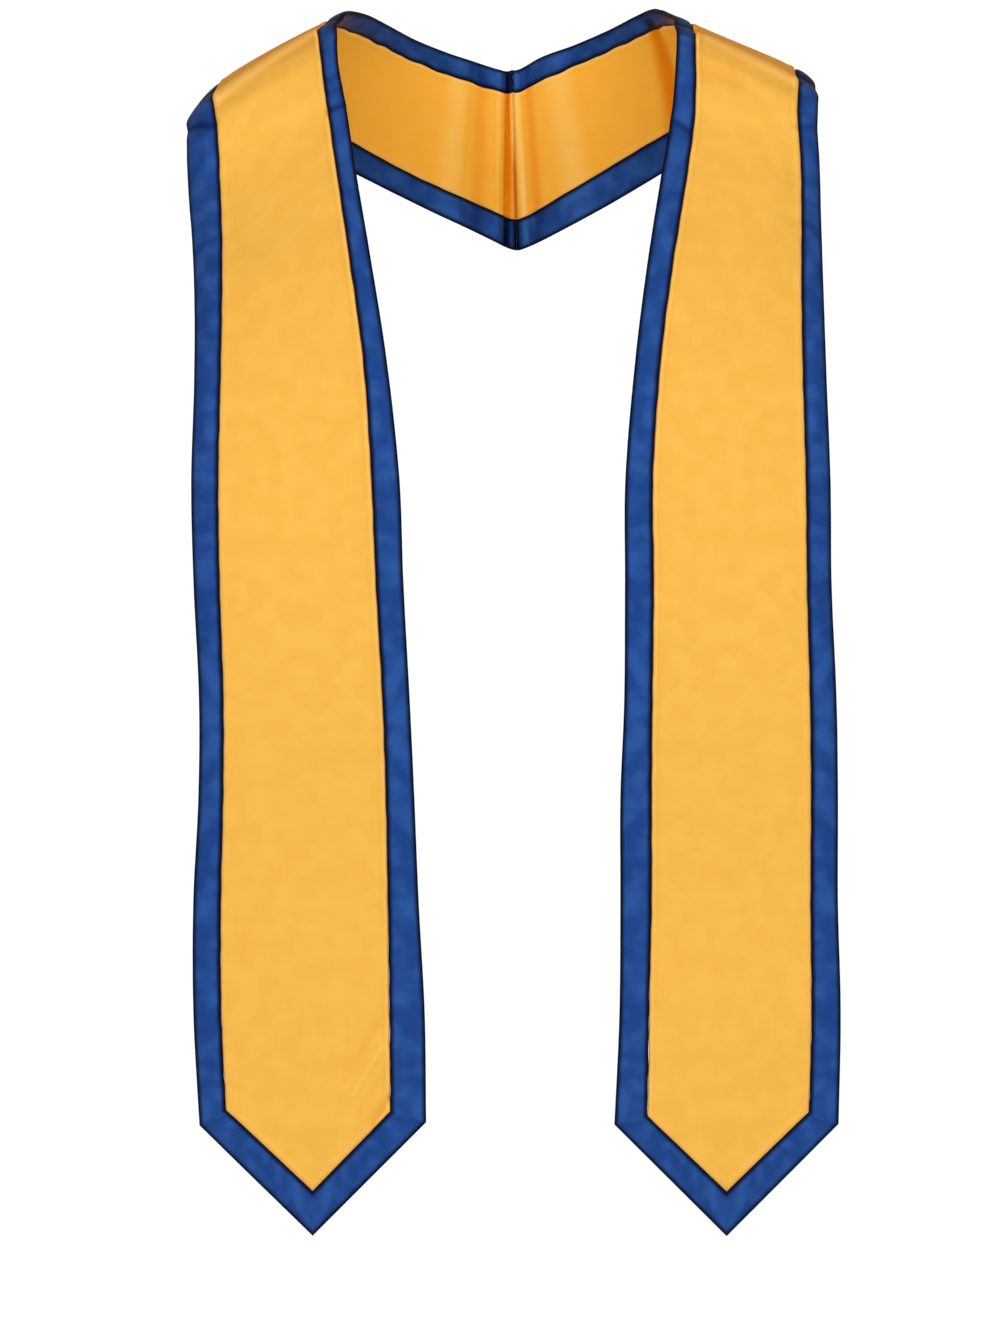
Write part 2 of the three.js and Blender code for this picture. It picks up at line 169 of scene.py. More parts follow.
# Satin
YARN = 0.9 * MM  # spacing of the yarns; the real ones lie 0.1 mm apart, which is too fine to show
YARN_RELIEF = 0.02 * MM
YARN_SHADE = 0.06  # how much of the deep tone the cloth takes along the streaks of its yarns
FLOAT_RUN = 26 * MM  # a yarn keeps its thickness over about this length
HANDLING = 38 * MM  # size of the soft dents that handling leaves
DENT_DEPTH = 0.12 * MM
STITCH_LINE = 0.1 * MM  # painted shade is darkest this far from the stitches and from a trim's folded edge
SHINE_LINE_WIDTH = 2.2 * MM  # of the paler line beside the stitches, a painted highlight where the rolled cloth catches the light
PATCH = 14 * MM  # size of the paler patches
PATCH_TONE = (0.4, 0.65)  # strength of the patches' noise where the tone starts and where it is full
CREST_TONE = (-0.1, -0.45)  # the same for the painted highlight on a pull's crest, by how deep it lies as a share of FOLD_HEIGHT
FOLD_TONE = (0.05, 0.7)  # and for the painted shade in its hollow
GLOSS = {"Anisotropic": 0.5, "IOR": 1.54, "Specular IOR Level": 0.3}
MIX_SHARE, MIX_FIRST, MIX_SECOND, MIX_RESULT = 0, 6, 7, 2  # places of a colour mix's sockets

# Names of what the mesh holds for the satin
LAID_FLAT = "laid_flat"
BESIDE_SEAM = "beside_seam"
IN_FOLD = "in_fold"


def table(columns, rows):
    """The rows as named columns."""
    return {name: np.array(values, float) for name, values in zip(columns.split(), zip(*rows))}


# Rows from the seam to just behind the shoulder line. neck_out is a share of half NECK_SPAN and outer_out of
# half SHOULDER_SPAN. The back shares are of BACK_REACH, outer_back's with TAIL_REACH added. sag is a share
# of CENTRE_DROP, and fall goes from 0 at the shoulder's outer end to 1 at the foot of the seam. crown is a
# share of SHOULDER_CROWN, and the trims are shares of TRIM_WIDTH.
BACK_COLUMNS = "neck_out neck_back sag outer_out outer_back fall crown neck_trim outer_trim"
BACK = {
    "left": table(BACK_COLUMNS, [
        (0.0, 1.0, 1.0, 0.0, 1.0, 1.0, 0.0, 0.76, 1.06),
        (0.17, 0.97, 0.58, 0.14, 0.97, 0.845, 0.0, 0.79, 1.13),
        (0.39, 0.9, 0.28, 0.29, 0.92, 0.67, 0.0, 0.7, 1.18),
        (0.61, 0.79, -0.05, 0.44, 0.84, 0.48, 0.1, 0.68, 1.18),
        (0.77, 0.63, -0.3, 0.58, 0.72, 0.3, 0.25, 0.7, 1.1),
        (0.87, 0.42, -0.34, 0.73, 0.52, 0.14, 0.45, 0.7, 0.98),
        (0.94, 0.19, -0.09, 0.87, 0.25, 0.0, 0.6, 0.68, 0.9),
    ]),
    "right": table(BACK_COLUMNS, [
        (0.0, 1.0, 1.0, 0.0, 1.0, 1.0, 0.0, 0.76, 1.06),
        (0.19, 0.97, 0.73, 0.12, 0.97, 0.85, 0.0, 0.76, 1.0),
        (0.39, 0.9, 0.5, 0.26, 0.92, 0.7, 0.0, 0.74, 0.93),
        (0.61, 0.79, 0.2, 0.39, 0.84, 0.56, 0.15, 0.74, 0.91),
        (0.77, 0.63, -0.06, 0.54, 0.72, 0.4, 0.4, 0.74, 0.95),
        (0.89, 0.43, -0.2, 0.7, 0.52, 0.26, 0.8, 0.74, 1.03),
        (0.98, 0.2, -0.16, 0.88, 0.25, 0.12, 1.3, 0.77, 1.25),
    ]),
}

# Side view of the front: fore is a share of FRONT_REACH and turn of CHEST_TURN.
PROFILE = table("fore turn", [
    (0.0, 0.0), (0.15, 0.0), (0.31, 0.1), (0.365, 0.3), (0.41, 0.6), (0.52, 0.9), (0.67, 1.0), (0.81, 1.0),
    (0.92, 0.9), (0.98, 0.7), (1.0, 0.5), (0.99, 0.4), (0.99, 0.3), (1.01, 0.3), (1.03, 0.4),
])

# Front view, row for row with the side view. drop is a share of HANG_LENGTH and tilt of SHOULDER_SLOPE.
# outer is a share of half SHOULDER_SPAN. widening goes from 0, the distance between the edges on the
# shoulder line, to 1, END_WIDTH.
FRONT_COLUMNS = "drop tilt outer widening crown neck_trim outer_trim"
FRONT = {
    "left": table(FRONT_COLUMNS, [
        (0.005, 0.74, 0.961, -0.12, 0.7, 0.66, 0.84),
        (0.012, 0.75, 0.967, -0.11, 0.7, 0.66, 0.82),
        (0.027, 0.76, 0.966, -0.12, 0.65, 0.68, 0.79),
        (0.053, 0.73, 0.964, -0.11, 0.6, 0.74, 0.75),
        (0.093, 0.63, 0.97, -0.03, 0.55, 0.8, 0.71),
        (0.157, 0.44, 0.972, 0.15, 0.5, 0.85, 0.7),
        (0.235, 0.28, 0.975, 0.365, 0.45, 0.84, 0.76),
        (0.324, 0.11, 0.98, 0.57, 0.45, 0.84, 0.8),
        (0.43, 0.02, 0.99, 0.757, 0.5, 0.9, 0.83),
        (0.52, 0.0, 0.991, 0.77, 0.5, 0.94, 0.82),
        (0.627, 0.0, 1.006, 0.85, 0.45, 0.92, 0.88),
        (0.71, 0.0, 1.01, 0.92, 0.4, 1.02, 0.89),
        (0.805, 0.0, 1.01, 0.92, 0.3, 1.02, 0.9),
        (0.902, 0.0, 1.018, 0.97, 0.2, 0.97, 0.96),
        (1.0, 0.0, 1.011, 1.01, 0.1, 1.06, 0.98),
    ]),
    "right": table(FRONT_COLUMNS, [
        (0.0, 1.11, 1.003, -0.02, 1.4, 0.7, 1.26),
        (0.01, 1.11, 1.027, -0.02, 1.25, 0.68, 1.26),
        (0.026, 1.12, 1.03, 0.0, 1.05, 0.68, 1.24),
        (0.051, 1.09, 1.03, 0.02, 0.82, 0.62, 1.27),
        (0.092, 0.98, 1.024, 0.11, 0.7, 0.66, 1.23),
        (0.157, 0.72, 1.01, 0.21, 0.6, 0.65, 1.1),
        (0.235, 0.44, 1.0, 0.38, 0.5, 0.7, 0.97),
        (0.324, 0.22, 0.997, 0.59, 0.5, 0.77, 0.9),
        (0.43, 0.02, 1.003, 0.8, 0.5, 0.92, 0.91),
        (0.52, 0.0, 0.994, 0.815, 0.5, 0.9, 0.87),
        (0.627, 0.0, 0.976, 0.825, 0.45, 0.89, 0.81),
        (0.71, 0.0, 0.978, 0.895, 0.4, 0.93, 0.82),
        (0.805, 0.0, 0.994, 1.03, 0.3, 1.01, 0.91),
        (0.902, 0.02, 0.993, 1.11, 0.2, 1.15, 0.92),
        (0.998, 0.04, 0.974, 1.045, 0.1, 1.16, 0.9),
    ]),
}

# The strips on a point, as shares of TRIM_WIDTH: at the corner of the neck edge, at the tip and at the
# corner of the outer edge.
POINT_TRIMS = {"left": (0.92, 1.03, 0.95), "right": (1.1, 1.04, 0.95)}

# Pulls in the cloth beside the seam. neck_at and outer_at are where a pull lies at the two edges, and
# spread is its width, as shares of FOLD_PITCH. Its heights are shares of FOLD_HEIGHT.
FOLD_COLUMNS = "neck_at outer_at spread neck_height outer_height"
FOLDS = {
    "left": table(FOLD_COLUMNS, [
        (0.38, 0.69, 0.26, -0.5, -0.55),
        (1.45, 1.5, 0.6, 0.42, 0.42),
        (4.0, 4.6, 1.4, -0.3, -0.3),
    ]),
    "right": table(FOLD_COLUMNS, [
        (0.33, 0.85, 0.4, 1.0, 1.0),
        (1.15, 1.25, 0.3, -0.35, -0.4),
        (2.7, 2.9, 0.9, 0.4, 0.4),
        (4.4, 4.8, 1.4, -0.3, -0.3),
    ]),
}

# Creases and soft dents, in millimetres: each runs from one place on a half to another, s along it and w
# across it. It is spread wide, and lies height above the surface.
CREASE_COLUMNS = "from_s from_w to_s to_w spread height"
CREASES = {
    "left": table(CREASE_COLUMNS, [
        (125, 0.12, 109, 0.85, 9, 1.8),
        (220, 0.0, 220, 0.12, 6, -1.5),
        (218, 0.89, 216, 1.0, 7, -1.6),
        (226, 0.15, 229, 0.8, 6, 1.4),
        (231, 0.86, 231, 1.0, 4, 0.9),
        (248, 0.17, 247, 0.45, 6, -0.6),
        (284, 0.0, 288, 0.13, 3.5, -1.1),
        (252, 1.0, 259, 0.84, 3, -0.9),
    ]),
    "right": table(CREASE_COLUMNS, [
        (217, 0.0, 217, 0.11, 6, -1.5),
        (216, 0.87, 213, 1.0, 10, -1.9),
        (225, 0.12, 233, 0.75, 6, 1.6),
        (233, 0.8, 231, 1.0, 4, 1.0),
        (262, 0.0, 263, 0.1, 2.4, -0.8),
        (270, 0.0, 271, 0.1, 2.2, -0.7),
        (280, 0.0, 279, 0.11, 2.8, -1.3),
        (237, 1.0, 248, 0.8, 3.2, -1.2),
        (842, 0.36, 808, 0.2, 2.2, -0.55),
        (850, 0.32, 822, 0.19, 1.8, 0.5),
        (862, 0.3, 838, 0.18, 2, -0.5),
        (868, 0.24, 852, 0.16, 2.6, -0.9),
    ]),
}


def each_row(rows):
    """The rows of a table, one at a time."""
    for values in zip(*rows.values()):
        yield dict(zip(rows, values))


def look_from_the_front():
    """The camera, level and square to the front."""
    data = bpy.data.cameras.new("camera")
    data.sensor_width = SENSOR
    data.lens = LENS
    camera = bpy.data.objects.new("camera", data)
    camera.location = EYE
    camera.rotation_euler = (math.pi / 2, 0, 0)
    bpy.context.scene.collection.objects.link(camera)
    bpy.context.scene.camera = camera


def mix(a, b, share):
    """a where share is 0, b where it is 1, and evenly between them."""
    return a + (b - a) * share


def ease(x, low, high):
    """0 up to low, 1 from high, and a smooth rise between them."""
    share = np.clip((x - low) / (high - low), 0, 1)
    return share * share * (3 - 2 * share)


def soft_noise(seed, x, y):
    """Smooth random heights from -1 to 1, one for each unit of x and y."""
    knots = np.random.default_rng(seed).uniform(-1, 1, (NOISE_KNOTS, NOISE_KNOTS))
    column, row = np.floor(x).astype(int), np.floor(y).astype(int)
    u, v = ease(x - column, 0, 1), ease(y - row, 0, 1)
    near, far = (mix(knots[(column + k) % NOISE_KNOTS, row % NOISE_KNOTS],
                     knots[(column + k) % NOISE_KNOTS, (row + 1) % NOISE_KNOTS], v) for k in (0, 1))
    return mix(near, far, u)


def bridge(u, start, end, leave, arrive):
    """A cubic from start to end with those slopes."""
    bend = 3 * (end - start) - 2 * leave - arrive
    return start + u * (leave + u * (bend + u * (2 * (start - end) + leave + arrive)))


def four_around(values, share):
    """How far along its step share is, and the two values on each side of it."""
    place = np.clip(share, 0, 1) * (len(values) - 3)
    k = np.minimum(place.astype(int), len(values) - 4)
    return place - k, [values[k + j] for j in range(4)]


def edge_curve(points):
    """A smooth curve through points, from 0 to 1."""
    run = np.vstack([2 * points[0] - points[1], points, 2 * points[-1] - points[-2]])

    def at(share):
        u, (a, b, c, d) = four_around(run, share)
        first, second, third = (np.sqrt(np.linalg.norm(q - p, axis=-1, keepdims=True))
                                for p, q in ((a, b), (b, c), (c, d)))
        leave = ((b - a) / first - (c - a) / (first + second) + (c - b) / second) * second
        arrive = ((c - b) / second - (d - b) / (second + third) + (d - c) / third) * second
        return bridge(u[..., None], b, c, leave, arrive)

    return at


def column_curve(side, column):
    """A smooth curve through one column of a half's tables, from 0 to 1."""
    rows = np.concatenate([BACK[side][column], FRONT[side][column]])
    run = np.concatenate([rows[:1], rows, rows[-1:]])

    def at(share):
        u, (a, b, c, d) = four_around(run, share)
        return bridge(u, b, c, (c - a) / 2, (d - b) / 2)

    return at


def edge_points(side):
    """The points of the neck edge and of the outer edge of a half."""
    half_span, neck_half = SHOULDER_SPAN / 2, NECK_SPAN / 2
    lean = SEAM_LEAN if side == "left" else -SEAM_LEAN
    back, front = BACK[side], FRONT[side]
    back_neck = [back["neck_out"] * neck_half, back["neck_back"] * BACK_REACH, -back["sag"] * CENTRE_DROP]
    back_outer = [
        back["outer_out"] * half_span + back["fall"] ** LEAN_FADE * lean,
        back["outer_back"] * (BACK_REACH + TAIL_REACH),
        -mix(SHOULDER_SLOPE, CENTRE_DROP + SEAM_LENGTH, back["fall"]),
    ]
    outer_x = front["outer"] * half_span
    neck_x = outer_x - mix(half_span - neck_half, END_WIDTH, front["widening"])
    neck_z = -front["drop"] * HANG_LENGTH
    fore = -PROFILE["fore"] * FRONT_REACH
    turn = PROFILE["turn"] * CHEST_TURN / 2
    front_neck = [neck_x, fore - turn, neck_z]
    front_outer = [outer_x, fore + turn, neck_z - front["tilt"] * SHOULDER_SLOPE]
    return (np.hstack([np.array(back_neck), np.array(front_neck)]).T,
            np.hstack([np.array(back_outer), np.array(front_outer)]).T)


class Half:
    """The middle surface of one half of the stole, worked out on the wearer's left."""

    def __init__(self, side):
        self.side = side
        neck, outer = edge_points(side)
        self.neck, self.outer = edge_curve(neck), edge_curve(outer)
        self.crown = column_curve(side, "crown")
        self.trims = column_curve(side, "neck_trim"), column_curve(side, "outer_trim")
        self.shares = np.linspace(0, 1, CURVE_SAMPLES + 1)
        middle = (self.neck(self.shares) + self.outer(self.shares)) / 2
        steps = np.linalg.norm(np.diff(middle, axis=0), axis=1)
        self.reached = np.concatenate([[0], np.cumsum(steps)])
        self.length = self.reached[-1]
        self.end_width = float(self.width(self.length))
        self.slant = math.atan2(POINT_LENGTH, self.end_width / 2)

    def share(self, s):
        """How far along its curves a half is at s."""
        return np.interp(s, self.reached, self.shares)

    def width(self, s):
        """From the neck edge to the outer edge."""
        t = self.share(np.asarray(s, float))
        return np.linalg.norm(self.outer(t) - self.neck(t), axis=-1)

    def waver(self, s, edge):
        """How far the seam beside a trim strays from its line."""
        start = WAVER_STARTS[self.side][edge]
        turn = 2 * math.pi * s / WAVER_RUN
        stray = (np.sin(turn + start) + np.sin(SECOND_WAVE * turn + 2 * start)) / 2
        behind = 1 - ease(s, BACK_REACH, 2 * BACK_REACH)
        most = mix(WAVER, NECK_WAVER if edge == 0 else WAVER, behind)
        return most * stray * ease(s, 0, 2 * ROUND_REACH)

    def trim(self, s, edge):
        """Width of the trim along the neck edge, 0, or the outer edge, 1."""
        return self.trims[edge](self.share(s)) * TRIM_WIDTH + self.waver(s, edge)

    def flat(self, s, w):
        """The surface stretched between the two edges, with the ends of the centre seam rounded off."""
        t = self.share(s)
        point = mix(self.neck(t), self.outer(t), w[..., None])
        point[..., 2] -= np.maximum(s - self.length, 0)
        rounding = np.sqrt((s / ROUND_REACH) ** 2 + 1) - s / ROUND_REACH
        point[..., 2] += mix(NOTCH_RISE, FOOT_RISE, w) * rounding
        return point

    def square(self, surface, s, w):
        """Square to a surface, away from the wearer."""
        near = np.maximum(s - PROBE, 0)
        along = surface(near + 2 * PROBE, w) - surface(near, w)
        across = surface(s, w + PROBE_ACROSS) - surface(s, w - PROBE_ACROSS)
        normal = np.cross(along, across)
        # at the centre seam both halves face straight back, so they meet without a step
        normal[..., 0] *= ease(s, 0, FOLD_START)
        return normal / np.linalg.norm(normal, axis=-1, keepdims=True)

    def pulls(self, s, w):
        """Height of the pulls beside the centre seam, and of the tuck in its lower part."""
        total = 0
        for fold in each_row(FOLDS[self.side]):
            away = (s / FOLD_PITCH - mix(fold["neck_at"], fold["outer_at"], w)) / fold["spread"]
            total = total + mix(fold["neck_height"], fold["outer_height"], w) * np.exp(-away ** 2)
        tuck = SEAM_TUCK * ease(w, TUCK_FROM, TUCK_FULL) * np.exp(-((s / TUCK_WIDTH) ** 2))
        return (total * ease(s, 0, FOLD_START) + tuck) * FOLD_HEIGHT

    def creases(self, s, w):
        """Height of the creases and dents, each round its own line."""
        across = w * self.width(s)
        total = 0
        for row in each_row(CREASES[self.side]):
            from_s, to_s = row["from_s"] * MM, row["to_s"] * MM
            start = np.array([from_s, row["from_w"] * float(self.width(from_s))])
            run = np.array([to_s, row["to_w"] * float(self.width(to_s))]) - start
            length = np.linalg.norm(run)
            along = ((s - start[0]) * run[0] + (across - start[1]) * run[1]) / length
            off = ((across - start[1]) * run[0] - (s - start[0]) * run[1]) / length
            past = np.maximum(np.maximum(-along, along - length), 0)
            spread = row["spread"] * MM
            total = total + row["height"] * MM * np.exp(-(off ** 2 + past ** 2) / spread ** 2)
        return total

    def unevenness(self, s, w):
        """Soft dents all over, and puckers beside the stitches of the trims."""
        width = self.width(s)
        from_edge = np.minimum(w, 1 - w) * width
        near_trim = 1 - ease(from_edge, TRIM_WIDTH, TRIM_WIDTH + PUCKER_FADE)
        kinds = (DENTS, 1), (RIPPLES, 1), (PUCKERS, near_trim)
        total = 0
        for seed, ((height, along, across), share) in enumerate(kinds, SEEDS[self.side]):
            total = total + height * soft_noise(seed, s / along, w * width / across) * share
        return total * ease(s, 0, 2 * ROUND_REACH)

    def lifted(self, s, w):
        """The surface with its crown, pulls, creases and dents. The crown rises from the neck edge and comes
        down just inside the outer edge."""
        shape = (1 - (1 - w) ** 2) * (1 - np.abs(w) ** CROWN_LET_DOWN)
        lift = self.crown(self.share(s)) * SHOULDER_CROWN * shape + self.pulls(s, w)
        lift = lift + self.creases(s, w) + self.unevenness(s, w)
        return self.flat(s, w) + self.square(self.flat, s, w) * lift[..., None]

    def at(self, s, w, height):
        """The point at a height above the middle surface."""
        return self.lifted(s, w) + self.square(self.lifted, s, w) * height[..., None]

    def edge(self, w):
        """s at the cut edge of the point."""
        return self.length + POINT_LENGTH * (1 - np.abs(2 * w - 1))

    def point_seam(self, w):
        """s at the seam between the cloth and the trims of the point."""
        neck, tip, outer = POINT_TRIMS[self.side]
        trim = mix(tip, np.where(w < 0.5, neck, outer), np.abs(2 * w - 1)) * TRIM_WIDTH
        return self.edge(w) - trim / math.cos(self.slant)

    def seam(self, s, edge):
        """w at the seam beside the neck trim, 0, or the outer trim, 1."""
        share = self.trim(s, edge) / self.width(s)
        return share if edge == 0 else 1 - share

    def shaped(self, s, end):
        """A row starts straight across and takes the shape of the end as it comes near it."""
        return s + ease(s, self.length - HEM_BLEND, self.length) * (end - self.length)


def rows_down(half):
    """Places of the rows along a half, closer together beside the centre seam."""
    start = STITCH_GAP / 2 + EDGE_STEPS
    count = math.ceil((half.length - start[-1]) / ROW_STEP)
    return np.concatenate([start[:-1], np.linspace(start[-1], half.length, count + 1)])


def steps_in(width, reach, hem=False):
    """Shares of a width from its edge to reach, closer together beside the edge, a row for each width."""
    edge = HEM_STEPS if hem else EDGE_STEPS
    near = edge / width[:, None]
    count = math.ceil(float(width.max()) * reach / COLUMN_STEP)
    return np.hstack([near, mix(near[:, -1:], reach, np.linspace(0, 1, count + 1)[1:])])


def ditch(distance, width):
    """Height of a wall beside its stitches, as a share."""
    return 1 - DITCH_DEPTH * np.exp(-((distance / width) ** 2))


def roll(distance):
    """The seam allowance under the cloth lifts it in a soft ridge beside the stitches."""
    return ROLL_HEIGHT * np.exp(-(((distance - ROLL_AT) / ROLL_WIDTH) ** 2))


def hem(distance):
    """Height of a trim beside its folded edge, as a share."""
    inside = np.clip(1 - distance / HEM_ROUND, 0, 1)
    return mix(HEM_THIN, 1, np.sqrt(1 - inside ** 2))


def sheet_faces(rows, columns):
    """The four-sided faces of a closed sheet: its two sides and its rim."""
    top = np.arange(rows * columns).reshape(rows, columns)
    under = top + rows * columns
    quads = [
        np.stack([top[:-1, :-1], top[1:, :-1], top[1:, 1:], top[:-1, 1:]], -1),
        np.stack([under[:-1, :-1], under[:-1, 1:], under[1:, 1:], under[1:, :-1]], -1),
    ]
    rim = [
        (top[:, 0], under[:, 0]),
        (top[::-1, -1], under[::-1, -1]),
        (top[0, ::-1], under[0, ::-1]),
        (top[-1], under[-1]),
    ]
    quads += [np.stack([high[:-1], low[:-1], low[1:], high[1:]], -1) for high, low in rim]
    return np.concatenate([quad.reshape(-1, 4) for quad in quads])


def cloth_piece(name, half, grid, walls, laid, seam, material):
    """A closed sheet on the surface of a half. grid holds s and w, walls the heights of its two sides, laid
    its places when laid flat, and seam the distance from its nearest stitches."""
    s, w = grid
    points = np.concatenate([half.at(s, w, height).reshape(-1, 3) for height in walls])
    faces = sheet_faces(*s.shape)
    if half.side == "right":
        points[:, 0] *= -1
        faces = faces[:, ::-1]
    mesh = bpy.data.meshes.new(name)
    mesh.from_pydata(points.tolist(), [], faces.tolist())
    mesh.polygons.foreach_set("use_smooth", np.ones(len(faces), bool))
    mesh.set_sharp_from_angle(angle=SHARP_ANGLE)
    places = np.stack(laid, -1).reshape(-1, 2)
    corners = np.concatenate([places, places])[faces.ravel()]
    mesh.uv_layers.new(name=LAID_FLAT).data.foreach_set("uv", corners.astype(np.float32).ravel())
    # how deep the cloth sinks sets the painted shade in hollows and the painted highlight on crests
    sunk = (half.pulls(s, w) + half.creases(s, w)).ravel() / FOLD_HEIGHT
    tones = {BESIDE_SEAM: np.tile(seam.ravel(), 2), IN_FOLD: np.concatenate([-sunk, sunk])}
    for title, values in tones.items():
        mesh.attributes.new(title, "FLOAT", "POINT").data.foreach_set("value", values.astype(np.float32))
    mesh.materials.append(material)
    piece = bpy.data.objects.new(name + "_cloth", mesh)
    bpy.context.scene.collection.objects.link(piece)
    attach(piece, "root")
    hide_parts(name)
    return piece


def cloth_grid(half):
    """s and w over the gold cloth, and the distance from its nearest seam."""
    s = rows_down(half)
    width = half.width(s)
    inset = STITCH_GAP / width
    seams = half.seam(s, 0) + inset, half.seam(s, 1) - inset
    sides = [mix(w[:, None], 0.5, steps_in(np.abs(w - 0.5) * width, 1)) for w in seams]
    w = np.hstack([sides[0], sides[1][:, -2::-1]])
    beside = np.minimum(w - w[:, :1], w[:, -1:] - w) * width[:, None]
    slope = math.cos(half.slant)
    last = half.point_seam(w) - STITCH_GAP / slope
    s = half.shaped(s[:, None], last - EDGE_STEPS[-1] / slope)
    ending = last[-1] - EDGE_STEPS[-2::-1, None] / slope
    repeat = len(ending)
    s = np.vstack([s, ending])
    w = np.vstack([w, np.repeat(w[-1:], repeat, 0)])
    beside = np.vstack([beside, np.repeat(beside[-1:], repeat, 0)])
    below = (half.point_seam(w) - s) * slope
    return (s, w), np.minimum(np.minimum(beside, s + SEAM_OPEN), below)


def gold_cloth(half, name, outside, gold):
    """The face of a half, outside 1, or its lining, outside -1."""
    grid, seam = cloth_grid(half)
    inner = np.full(seam.shape, outside * LAYER_GAP / 2)
    wall = FACE_WALL if outside > 0 else LINING_WALL
    outer = inner + outside * (wall * ditch(seam, GOLD_DITCH) + roll(seam))
    laid = grid[1] * half.width(grid[0]), grid[0]
    walls = (outer, inner) if outside > 0 else (inner, outer)
    return cloth_piece(f"{name}_{half.side}", half, grid, walls, laid, seam, gold)


def trim_walls(steps, width, seam):
    """Heights of both sides of a folded trim: steps are shares of its width from the folded edge."""
    pressed = ditch(seam, TRIM_DITCH)
    share = hem(steps * width) * pressed
    swell = PADDING * np.sin(math.pi * np.clip(steps, 0, 1)) ** PADDING_ROUND
    return (
        (LAYER_GAP / 2 + FACE_WALL) * share + swell * pressed,
        -(LAYER_GAP / 2 + LINING_WALL) * share - swell * pressed,
    )


def trim_steps(width):
    """Shares of a trim's width from its folded edge to its stitches, a row for each width."""
    return np.hstack([steps_in(width, 0.5, hem=True), 1 - steps_in(width, 0.5)[:, -2::-1]])


def trim_piece(name, half, edge, grid, steps, width, seam, down, blue):
    """A folded strip. steps are shares of its width from the folded edge, seam is the distance from its
    stitches and mitres, and down the distance along it."""
    across = steps * width
    # the satin's painted shade also falls beside the folded edge, where the trim turns from the light
    parts = [*grid, *trim_walls(steps, width, seam), across, down, np.minimum(seam, across)]
    if edge == 1:
        parts = [part[:, ::-1] for part in parts]
    s, w, high, low, across, down, beside = parts
    return cloth_piece(name, half, (s, w), (high, low), (across, down), beside, blue)


def side_trim(half, edge, blue):
    """The trim along the neck edge, 0, or the outer edge, 1, down to its mitre."""
    s = rows_down(half)
    width = half.trim(s, edge)
    steps = trim_steps(width)
    seam_w = half.seam(s, edge)[:, None]
    w = mix(edge, seam_w, steps)
    mitre = mix(half.length, half.point_seam(seam_w), steps) - STITCH_GAP / 2
    s = half.shaped(s[:, None], mitre)
    width = width[:, None]
    seam = np.minimum((1 - steps) * width, s)
    name = f"{('neck', 'outer')[edge]}_trim_{half.side}"
    return trim_piece(name, half, edge, (s, w), steps, width, seam, s, blue)


def point_trim(half, edge, blue):
    """The trim along one edge of the point, from the corner's mitre to the tip's."""
    tip = 0.5 + (-1, 1)[edge] * STITCH_GAP / 2 / half.end_width
    corner = float(half.seam(np.array(half.length), edge))
    run = math.hypot(half.end_width / 2, POINT_LENGTH)
    along = np.linspace(0, 1, math.ceil(run / ROW_STEP) + 1)[:, None]
    outside, inside = mix(edge, tip, along), mix(corner, tip, along)
    steps = trim_steps(np.full(len(along), TRIM_WIDTH))
    s = mix(half.edge(outside), half.point_seam(inside), steps)
    w = mix(outside, inside, steps)
    seam = (1 - steps) * TRIM_WIDTH
    down = np.repeat(along * run, steps.shape[1], 1)
    name = f"point_trim_{('neck', 'outer')[edge]}_side_{half.side}"
    return trim_piece(name, half, edge, (s, w), steps, TRIM_WIDTH, seam, down, blue)


def linear(colour):
    """An sRGB hex colour as linear red, green, blue and alpha."""
    channels = [int(colour[k:k + 2], 16) / 255 for k in (1, 3, 5)]
    return (*(c / 12.92 if c <= 0.04045 else ((c + 0.055) / 1.055) ** 2.4 for c in channels), 1)


def add_node(tree, kind, settings=None, values=None, links=None):
    """Adds a node. settings are its own options, and values and links go to its inputs."""
    node = tree.nodes.new(kind)
    for name, value in (settings or {}).items():
        setattr(node, name, value)
    for name, value in (values or {}).items():
        node.inputs[name].default_value = value
    for name, output in (links or {}).items():
        tree.links.new(output, node.inputs[name])
    return node


def from_to(start, end, low, high):
    """The settings of a range: low at start and high at end."""
    return {"From Min": start, "From Max": end, "To Min": low, "To Max": high}


